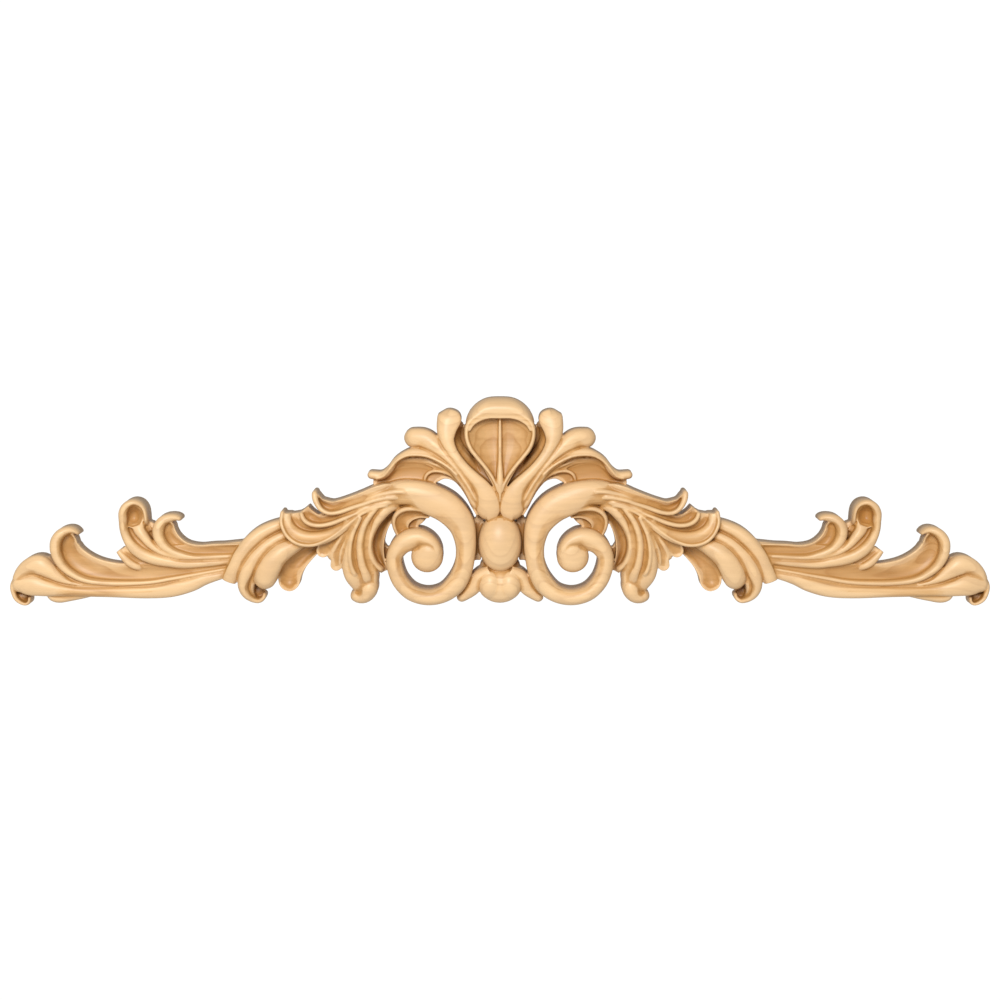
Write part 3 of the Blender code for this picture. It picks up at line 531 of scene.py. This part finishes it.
def ribbon_top(stroke, along, across):
    """The top of a ribbon as rows of points: out, up and height."""
    line, place = smooth_line(stroke.path, along)
    crest = spread(stroke.crest, place)
    line = as_built(line, crest)
    wide = spread(stroke.wide, place)
    run = lengths(line)
    to_end = (run, run[-1] - run)
    round_off = np.ones(along)
    sink = np.zeros(along)
    for kind, gone, reach in zip(stroke.ends, to_end, (wide[0], wide[-1])):
        if kind == "round":
            near = np.clip(1 - gone / reach, 0, 1)
            round_off = np.minimum(round_off, np.sqrt(1 - near**2))
        if kind == "sink":
            sink += 16 * np.clip(1 - gone / (2.5 * reach + 2), 0, 1)**2
    tangent = np.gradient(line, axis=0)
    tangent /= np.linalg.norm(tangent, axis=1, keepdims=True)
    reach = np.maximum(wide * round_off, 0.15)[:, None]
    v = np.sin(np.linspace(-math.pi / 2, math.pi / 2, across))
    out = line[:, :1] - tangent[:, 1:] * reach * v
    up = line[:, 1:] + tangent[:, :1] * reach * v
    if stroke.dished:
        lip = np.clip(np.abs(v) - 0.8, 0, 1)
        fall = v**2 - 8 * lip**2
    else:
        fall = 1 - np.sqrt(1 - v**2)
    soft = round_off[:, None]**2 if stroke.dished else round_off[:, None]
    left = spread(stroke.drop, place)[:, None]
    right = spread(stroke.lower, place)[:, None]
    side = np.where(v > 0, left, right)
    height = crest[:, None] - sink[:, None] - side * (1 - (1 - fall) * soft)
    return out, up, height


out, up, height = ribbon_top(shell()[-1], 12, 5)
print("the shell's ridge runs from", up.min().round(1), "to", up.max().round(1), "on the pattern")

# %% [markdown]
# The grid is then laid on the board: out becomes +X, up becomes +Z, and the relief comes forward along -Y. Only
# this step knows metres, so the pattern itself stays easy to read and the real size is set in one place.

# %% Onto the board
def place_on_pattern(out, up, height):
    """Metres from pattern steps: out along +X, up along +Z, the relief towards -Y."""
    x = out * LENGTH / PATTERN_LENGTH
    z = (up - PATTERN_BASE) * HEIGHT / PATTERN_HEIGHT - HEIGHT / 2
    return x, -height / 100 * DEPTH, z


print("the egg's crest is at", [round(float(value), 4) for value in place_on_pattern(0, 58, 100)])

# %% [markdown]
# ## Blocks
#
# Each stroke becomes a solid block. A grid is bent into the stroke's top and its faces are extruded
# straight back, past the board's back plane. A dome is half a sphere on a straight plug. The blocks
# overlap freely, as the next step joins them.

# %% A block for each stroke
def add_ribbon(bm, stroke):
    """A grid bent into the ribbon's top, then pulled back into a block that ends behind the back plane."""
    reach = lengths(np.array(stroke.path, float))[-1]
    along = 12 + round(reach / 2)
    across = 13
    out, up, height = ribbon_top(stroke, along, across)
    made = bmesh.ops.create_grid(bm, x_segments=along - 1, y_segments=across - 1, size=1)
    for vert in made["verts"]:
        i = round((vert.co.x + 1) / 2 * (along - 1))
        j = round((vert.co.y + 1) / 2 * (across - 1))
        vert.co = place_on_pattern(out[i, j], up[i, j], height[i, j])
    faces = list({face for vert in made["verts"] for face in vert.link_faces})
    pulled = bmesh.ops.extrude_face_region(bm, geom=faces, use_keep_orig=True)
    for item in pulled["geom"]:
        if isinstance(item, bmesh.types.BMVert):
            item.co.y = DEPTH / 6


def add_dome(bm, dome):
    """Half a ball on a straight plug, ending behind the back plane."""
    middle = as_built(np.array(dome.at), dome.crest)[0]
    ball = bmesh.new()
    bmesh.ops.create_uvsphere(ball, u_segments=40, v_segments=20, radius=1)
    for vert in ball.verts:
        out = middle[0] + dome.radii[0] * vert.co.x
        up = middle[1] + dome.radii[1] * vert.co.y
        if vert.co.z > -0.01:
            height = dome.base + (dome.crest - dome.base) * max(vert.co.z, 0)
            vert.co = place_on_pattern(out, up, height)
        else:
            x, y, z = place_on_pattern(out, up, 0)
            vert.co = (x, DEPTH / 6, z)
    mesh = bpy.data.meshes.new("dome")
    ball.to_mesh(mesh)
    ball.free()
    bm.from_mesh(mesh)
    bpy.data.meshes.remove(mesh)


print("blocks end", round(1000 * DEPTH / 6, 1), "mm behind the back plane")

# %% [markdown]
# All blocks of one half go into one mesh. They still cross each other, like slats laid over slats.

# %% The half pattern as blocks
def half_block():
    """The strokes of the half pattern as overlapping blocks in one mesh."""
    bm = bmesh.new()
    for group in PATTERN:
        for stroke in group():
            if isinstance(stroke, Dome):
                add_dome(bm, stroke)
            else:
                add_ribbon(bm, stroke)
    bmesh.ops.recalc_face_normals(bm, faces=bm.faces)
    mesh = bpy.data.meshes.new("half_pattern")
    bm.to_mesh(mesh)
    bm.free()
    return mesh


blocks = half_block()
print(len(blocks.polygons), "faces in the blocks of one half")

# %% [markdown]
# ## One skin
#
# Boolean joins of so many blocks are slow and break where faces nearly touch. A voxel remesh wraps one closed
# skin round all of them instead. Its steps show as a faint stair, so a few rounds of smoothing
# follow, which do what sandpaper does on the real carving. Then flat areas give up triangles they
# don't need.

# %% Join, smooth and thin out
SANDING_ROUNDS = 8


def applied(obj):
    """The object's mesh as its modifiers leave it."""
    seen = obj.evaluated_get(bpy.context.evaluated_depsgraph_get())
    return bpy.data.meshes.new_from_object(seen)


def one_skin(mesh):
    """One smooth skin round all the blocks."""
    obj = bpy.data.objects.new("half", mesh)
    bpy.context.scene.collection.objects.link(obj)
    skin = obj.modifiers.new("skin", "REMESH")
    skin.mode = "VOXEL"
    skin.voxel_size = CELL
    sanding = obj.modifiers.new("sanding", "SMOOTH")
    sanding.factor = 0.5
    sanding.iterations = SANDING_ROUNDS
    obj.data = applied(obj)
    obj.modifiers.clear()
    obj.data.calc_loop_triangles()
    found = len(obj.data.loop_triangles)
    fewer = obj.modifiers.new("fewer", "DECIMATE")
    fewer.ratio = min(1, TRIANGLES / 2 / found)
    thinned = applied(obj)
    bpy.data.objects.remove(obj)
    print(found, "triangles thinned to", len(thinned.polygons))
    return thinned


half = one_skin(blocks)

# %% [markdown]
# ## The flat back and the mirror
#
# The back is cut flat, because that is the face that is glued on. The half is cut on the centreline and
# mirrored. Points that lie almost on a cut are first moved onto it, so that no slivers are left and
# both halves meet in the same points.

# %% Cut and mirror
def cut_flat(bm, axis, normal):
    """Cuts away what lies past a plane through the origin. Points near the plane are moved onto it first, so
    that the cut leaves no slivers. Faces that then lie in the plane go too, and an inner edge with both
    ends on it gets a middle point just inside, so that no edge joins more than two faces in the end."""
    near = CELL / 6
    for vert in bm.verts:
        if abs(vert.co[axis]) < near:
            vert.co[axis] = 0
    bmesh.ops.bisect_plane(bm, geom=bm.verts[:] + bm.edges[:] + bm.faces[:], dist=1e-7, plane_co=(0, 0, 0),
                           plane_no=normal, clear_outer=True)
    flat = [face for face in bm.faces if all(vert.co[axis] == 0 for vert in face.verts)]
    bmesh.ops.delete(bm, geom=flat, context="FACES")
    touching = [edge for edge in bm.edges
                if not edge.is_boundary and all(vert.co[axis] == 0 for vert in edge.verts)]
    middle = bmesh.ops.subdivide_edges(bm, edges=touching, cuts=1)["geom_inner"]
    for item in middle:
        if isinstance(item, bmesh.types.BMVert):
            item.co[axis] = -near * normal[axis]


def cut_and_mirror(mesh):
    """The half cut off flat at the back and on the centreline, then doubled across the centreline."""
    bm = bmesh.new()
    bm.from_mesh(mesh)
    cut_flat(bm, 1, (0, 1, 0))
    rim = [edge for edge in bm.edges if edge.is_boundary]
    bmesh.ops.triangle_fill(bm, edges=rim, use_beauty=True, normal=(0, 1, 0))
    cut_flat(bm, 0, (-1, 0, 0))
    bmesh.ops.mirror(bm, geom=bm.verts[:] + bm.edges[:] + bm.faces[:], axis="X", merge_dist=1e-7)
    bmesh.ops.recalc_face_normals(bm, faces=bm.faces)
    return bm


carved = cut_and_mirror(half)
print(len(carved.faces), "triangles,", sum(edge.is_boundary for edge in carved.edges), "open edges")

# %% [markdown]
# The finer skin may reach a hair further than the solid. Its outermost points are eased back into the solid's
# box, by a few hundredths of a millimetre.

# %% Keep within the solid
for vert in carved.verts:
    for axis in range(3):
        vert.co[axis] = min(max(vert.co[axis], solid_low[axis]), solid_high[axis])
print("the carving spans", round(max(vert.co.x for vert in carved.verts) * 2, 4), "m")

# %% [markdown]
# ## Where shade is painted in
#
# On the real piece the hollows look clearly browner than the crests, because they lie in shade. The colour
# paints that shade in, and paints the crests paler, a highlight together with finish worn off them. A texture
# can't know where the hollows are, so each point of the mesh gets three numbers. "hollow" says how shut in it
# is: short rays go out from it, and each one that soon meets wood counts. "edge" says how far it stands out from
# its neighbours, and "steep" how far it turns away from the front. The rays start a little off the wood (LIFT),
# and each is turned from the last by the golden angle, which spreads them evenly with no seam.

# %% How shut in each point is
REACH = 0.016
RAYS = 10
LIFT = 0.0004
GOLDEN_TURN = 2.39996


def ray_fan():
    """Directions spread evenly over a half ball, steeper ones first."""
    fan_out = []
    for step in range(RAYS):
        rise = 1 - (step + 0.5) / RAYS * 0.85
        turn = step * GOLDEN_TURN
        reach = math.sqrt(1 - rise * rise)
        fan_out.append(Vector((reach * math.cos(turn), reach * math.sin(turn), rise)))
    return fan_out


def shut_in(bm):
    """For each point, the share of its rays that meet wood nearby, near hits counting most."""
    tree = BVHTree.FromBMesh(bm)
    directions = ray_fan()
    found = np.zeros(len(bm.verts))
    for vert in bm.verts:
        turned = vert.normal.to_track_quat("Z", "Y")
        start = vert.co + vert.normal * LIFT
        for direction in directions:
            distance = tree.ray_cast(start, turned @ direction, REACH)[3]
            if distance is not None:
                found[vert.index] += 1 - distance / REACH
    return found / RAYS


carved.verts.index_update()
carved.normal_update()
hollow = shut_in(carved)
print("the most shut-in point scores", round(float(hollow.max()), 2))

# %% [markdown]
# The "edge" number comes from sanding in numbers only: every point is drawn towards its neighbours again and
# again, and how far it had to sink along its own normal tells a crest (above zero) from a groove (below zero).

# %% Crests and grooves
SINK_ROUNDS = 24


def eased(values, pairs, rounds):
    """Each value drawn towards its neighbours' mean, several times over."""
    first, second = pairs[:, 0], pairs[:, 1]
    count = np.bincount(pairs.ravel(), minlength=len(values))
    for _ in range(rounds):
        total = np.bincount(first, values[second], len(values)) + np.bincount(second, values[first], len(values))
        values = (values + total / count) / 2
    return values


pairs = np.array([[vert.index for vert in edge.verts] for edge in carved.edges])
places = np.array([vert.co for vert in carved.verts])
normals = np.array([vert.normal for vert in carved.verts])
sanded = np.column_stack([eased(places[:, axis], pairs, SINK_ROUNDS) for axis in range(3)])
edge_height = eased(((places - sanded) * normals).sum(axis=1), pairs, 2)
hollow = eased(hollow, pairs, 4)
steep = eased(1 - np.abs(normals[:, 1]), pairs, 4)
print("crests stand out by up to", round(1000 * float(edge_height.max()), 2), "mm")

# %% [markdown]
# ## The finished piece
#
# The mesh becomes one object at the origin, with the three numbers stored on its points. It is shaded smooth,
# but for the flat back, whose sawn edge stays crisp.

# %% The onlay
mesh = bpy.data.meshes.new("onlay_carved")
carved.to_mesh(mesh)
carved.free()
for face in mesh.polygons:
    face.use_smooth = face.normal.y < 0.99
for name, values in (("hollow", hollow), ("edge", edge_height * 1000), ("steep", steep)):
    kept = mesh.attributes.new(name, "FLOAT", "POINT")
    kept.data.foreach_set("value", values.astype(np.float32))
onlay = bpy.data.objects.new("onlay_carved", mesh)
bpy.context.scene.collection.objects.link(onlay)
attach(onlay, "root")
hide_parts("onlay")
print(len(mesh.polygons), "triangles in the finished carving")

# %% [markdown]
# ## Wood
#
# The board is flat-sawn, so its growth rings lie nearly parallel to the face and run lengthwise. Carving
# cuts through them, and they show as long lines on the arms and as ovals on the egg and the eyes. A
# picture of grain could not do this, but a solid pattern can: the ring that a point is in depends only on
# how far the point lies from the tree's pith, which is a line behind the board.

# %% A small kit for nodes
wood = bpy.data.materials.new("honey_wood")
wood.use_nodes = True
nodes = wood.node_tree.nodes
links = wood.node_tree.links
shader = nodes["Principled BSDF"]


def node(kind, **settings):
    """A new node of a kind, with its settings and the unlinked values of its inputs."""
    made = nodes.new("ShaderNode" + kind)
    for name, value in settings.items():
        if name in made.inputs:
            made.inputs[name].default_value = value
        else:
            setattr(made, name, value)
    return made


def sum_up(operation, first, second):
    """A Math node. Each of its two values is a socket or a plain number."""
    made = node("Math", operation=operation)
    for socket, value in zip(made.inputs, (first, second)):
        if isinstance(value, (int, float)):
            socket.default_value = value
        else:
            links.new(value, socket)
    return made.outputs[0]


def stepped(value, stops):
    """A ramp that turns a value into the colours given at their places."""
    made = node("ValToRGB")
    ramp = made.color_ramp
    while len(ramp.elements) < len(stops):
        ramp.elements.new(0.5)
    for element, (place, colour) in zip(ramp.elements, stops):
        element.position = place
        element.color = (*colour, 1)
    links.new(value, made.inputs[0])
    return made.outputs[0]


def blended(share, first, second, kind="MIX"):
    """Two colours mixed by a share."""
    made = node("Mix", data_type="RGBA", blend_type=kind)
    for socket, value in zip((made.inputs[0], made.inputs[6], made.inputs[7]), (share, first, second)):
        if isinstance(value, bpy.types.NodeSocket):
            links.new(value, socket)
        elif isinstance(value, tuple):
            socket.default_value = (*value, 1)
        else:
            socket.default_value = value
    return made.outputs[2]


def noise_at(place, stretch, scale, detail=2):
    """Noise on the object's own coordinates, stretched to suit the grain."""
    mapping = node("Mapping")
    mapping.inputs["Scale"].default_value = stretch
    links.new(place, mapping.inputs["Vector"])
    made = node("TexNoise", Scale=scale, Detail=detail, Roughness=0.55)
    links.new(mapping.outputs[0], made.inputs["Vector"])
    return made.outputs["Fac"]


place = node("TexCoord").outputs["Object"]
print("the material starts with", len(nodes), "nodes")

# %% [markdown]
# The rings: the distance from the pith, bent by slow noise because no tree grows straight, is divided by
# the rings' spacing. The fraction that is left runs from 0 to 1 across each ring, pale in the spring wood and
# a little darker where the summer wood ends.

# %% Growth rings
RING = 0.0034

pith = node("Mapping")
pith.inputs["Location"].default_value = (0, -0.105, 0.035)
pith.inputs["Scale"].default_value = (0.03, 1, 1)
links.new(place, pith.inputs["Vector"])
from_pith = node("VectorMath", operation="LENGTH")
links.new(pith.outputs[0], from_pith.inputs[0])
wander = noise_at(place, (1, 5, 5), 5.5)
bent = sum_up("ADD", from_pith.outputs["Value"], sum_up("MULTIPLY", wander, 0.026))
rings = sum_up("DIVIDE", bent, RING)
across_ring = sum_up("FRACT", rings, 0)
ring_tone = stepped(across_ring, [(0.0, (0.15, 0.15, 0.15)), (0.12, (0, 0, 0)), (0.6, (0.2, 0.2, 0.2)),
                                  (0.93, (1, 1, 1)), (1.0, (0.15, 0.15, 0.15))])
print("rings are", RING * 1000, "mm apart")

# %% [markdown]
# The fibres: very fine noise, drawn out along the board, gives the silky streaks that are seen from close by.
# Slower noise varies the whole board between paler and warmer patches.

# %% Fibres and patches
fibres = noise_at(place, (0.035, 1, 1), 1500, 3)
streaks = noise_at(place, (0.06, 1, 1), 260, 3)
patches = noise_at(place, (0.5, 1, 1), 14)

pale = (0.74, 0.485, 0.24)
warm = (0.58, 0.325, 0.125)
summer_wood = (0.46, 0.24, 0.09)

board = blended(stepped(patches, [(0.35, (0, 0, 0)), (0.65, (1, 1, 1))]), pale, warm)
board = blended(sum_up("MULTIPLY", ring_tone, 0.7), board, summer_wood)
streak = stepped(streaks, [(0.35, (0.78, 0.73, 0.66)), (0.62, (1.09, 1.08, 1.06))])
board = blended(0.6, board, streak, "MULTIPLY")
grain = stepped(fibres, [(0.3, (0.9, 0.88, 0.85)), (0.6, (1, 1, 1))])
board = blended(0.5, board, grain, "MULTIPLY")
print("the bare wood takes", len(nodes), "nodes")

# %% [markdown]
# Last comes the painted light: painted shade, brown where a point is shut in or lies in a groove and a darker
# honey on the steep sides that turn from the lamp; a painted highlight with worn finish on the crests; a thin
# satin coat over all.

# %% The painted shade and highlight, and the satin coat
# Painted light: the first three colours are painted shade, for the steep sides, for the hollows and grooves, and
# for the most shut-in points. The last paints the crests paler, a highlight with worn finish.
painted_side_shade = (0.42, 0.20, 0.04)
painted_shade_brown = (0.37, 0.16, 0.022)
dark = (0.13, 0.042, 0.012)
painted_highlight_and_wear = (0.80, 0.57, 0.33)

shut = node("Attribute", attribute_name="hollow").outputs["Fac"]
raised = node("Attribute", attribute_name="edge").outputs["Fac"]
turned = node("Attribute", attribute_name="steep").outputs["Fac"]

# Painted shade on the steep walls, which turn away from the front lamp, and on the flat back.
side = stepped(turned, [(0.05, (0, 0, 0)), (0.8, (0.85, 0.85, 0.85))])
colour_with_painted_light = blended(side, board, blended(0.6, board, painted_side_shade))
# Painted shade: the more shut in a point is, the browner it is painted.
colour_with_painted_light = blended(stepped(shut, [(0.10, (0, 0, 0)), (0.65, (1, 1, 1))]), colour_with_painted_light, blended(0.65, board, painted_shade_brown))
# Painted shade: the most shut-in points are painted a deep, nearly black brown.
colour_with_painted_light = blended(stepped(shut, [(0.45, (0, 0, 0)), (0.85, (1, 1, 1))]), colour_with_painted_light, dark)
# Painted shade in the grooves, where the edge number falls below zero.
groove = stepped(sum_up("MULTIPLY", raised, -1), [(0.02, (0, 0, 0)), (0.25, (0.75, 0.75, 0.75))])
colour_with_painted_light = blended(groove, colour_with_painted_light, blended(0.5, colour_with_painted_light, painted_shade_brown))
# Painted highlight on the crests, together with finish worn off them.
crest = stepped(raised, [(0.02, (0, 0, 0)), (0.22, (0.5, 0.5, 0.5))])
colour_with_painted_light = blended(crest, colour_with_painted_light, painted_highlight_and_wear)
links.new(colour_with_painted_light, shader.inputs["Base Color"])

rough = sum_up("ADD", 0.40, sum_up("MULTIPLY", fibres, 0.14))
links.new(rough, shader.inputs["Roughness"])
shader.inputs["Coat Weight"].default_value = 0.15
shader.inputs["Coat Roughness"].default_value = 0.3
shader.inputs["Specular IOR Level"].default_value = 0.32

relief = node("Bump", Strength=0.25, Distance=0.0003)
links.new(sum_up("ADD", fibres, sum_up("MULTIPLY", streaks, 1.5)), relief.inputs["Height"])
links.new(relief.outputs[0], shader.inputs["Normal"])
onlay.data.materials.append(wood)
print("the finished wood takes", len(nodes), "nodes")

# %% [markdown]
# ## Studio
#
# The photo is a plain product shot: white all round, and a broad soft light that stands a little above the
# lens. Faces that look at the viewer are bright, and walls fall off into brown. A round soft box does that.
# The world lights the rest weakly, and is pure white only where the camera looks straight at it. The pale floor
# lies well below, as under a piece that hangs on a wall.

# %% The white surround
world = bpy.data.worlds.new("studio")
world.use_nodes = True
sky = world.node_tree
sky.nodes["Background"].inputs["Color"].default_value = (1, 1, 1, 1)
straight = sky.nodes.new("ShaderNodeLightPath")
strength = sky.nodes.new("ShaderNodeMapRange")
strength.inputs["To Min"].default_value = 0.42
strength.inputs["To Max"].default_value = 1.05
sky.links.new(straight.outputs["Is Camera Ray"], strength.inputs["Value"])
sky.links.new(strength.outputs[0], sky.nodes["Background"].inputs["Strength"])
bpy.context.scene.world = world
bpy.context.scene.view_settings.view_transform = "Standard"
print("the world is white")

# %% [markdown]
# The camera's picture ends above the floor, so the floor shows only in views from other sides.

# %% Floor
floor_mesh = bpy.data.meshes.new("floor")
bm = bmesh.new()
bmesh.ops.create_circle(bm, cap_ends=True, segments=96, radius=2.1)
bmesh.ops.translate(bm, verts=bm.verts, vec=(0, 0, -1.2))
bm.to_mesh(floor_mesh)
bm.free()
floor = bpy.data.objects.new("floor", floor_mesh)
bpy.context.scene.collection.objects.link(floor)
floor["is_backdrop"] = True

paper = bpy.data.materials.new("white_paper")
paper.use_nodes = True
paper.node_tree.nodes["Principled BSDF"].inputs["Base Color"].default_value = (0.95, 0.95, 0.95, 1)
paper.node_tree.nodes["Principled BSDF"].inputs["Roughness"].default_value = 0.9
floor_mesh.materials.append(paper)
print("the floor is 4.2 m across")

# %% [markdown]
# The soft box stands in front, a little to the left and above the lens, where the highlights of the photo ask
# for it. A smaller one would throw hard shadows into every groove.

# %% Lamp
def soft_box(name, place, aim, width, power):
    """A broad round lamp at a place, turned to its aim."""
    lamp = bpy.data.lights.new(name, "AREA")
    lamp.shape = "DISK"
    lamp.size = width
    lamp.energy = power
    stand = bpy.data.objects.new(name, lamp)
    stand.location = place
    stand.rotation_euler = (Vector(aim) - Vector(place)).to_track_quat("-Z", "Y").to_euler()
    bpy.context.scene.collection.objects.link(stand)
    return stand


soft_box("front_light", (-0.35, -2.2, 1.0), (0, 0, 0), 1.0, 58)
print("one soft box")

# %% [markdown]
# ## Camera
#
# The photo looks at the face almost squarely, from a little above: the tops of the edges just show.

# %% Camera
RISE = math.radians(6.5)
DISTANCE = 1.395
ACROSS = 0.6187
AIM = Vector((0, -0.014, 0.0016))

lens = bpy.data.cameras.new("camera")
lens.sensor_width = 36
lens.lens = 36 * DISTANCE / ACROSS
lens.clip_end = 100
camera = bpy.data.objects.new("camera", lens)
camera.location = AIM + DISTANCE * Vector((0, -math.cos(RISE), math.sin(RISE)))
camera.rotation_euler = (AIM - camera.location).to_track_quat("-Z", "Y").to_euler()
bpy.context.scene.collection.objects.link(camera)
bpy.context.scene.camera = camera
print("the lens is", round(lens.lens, 1), "mm")
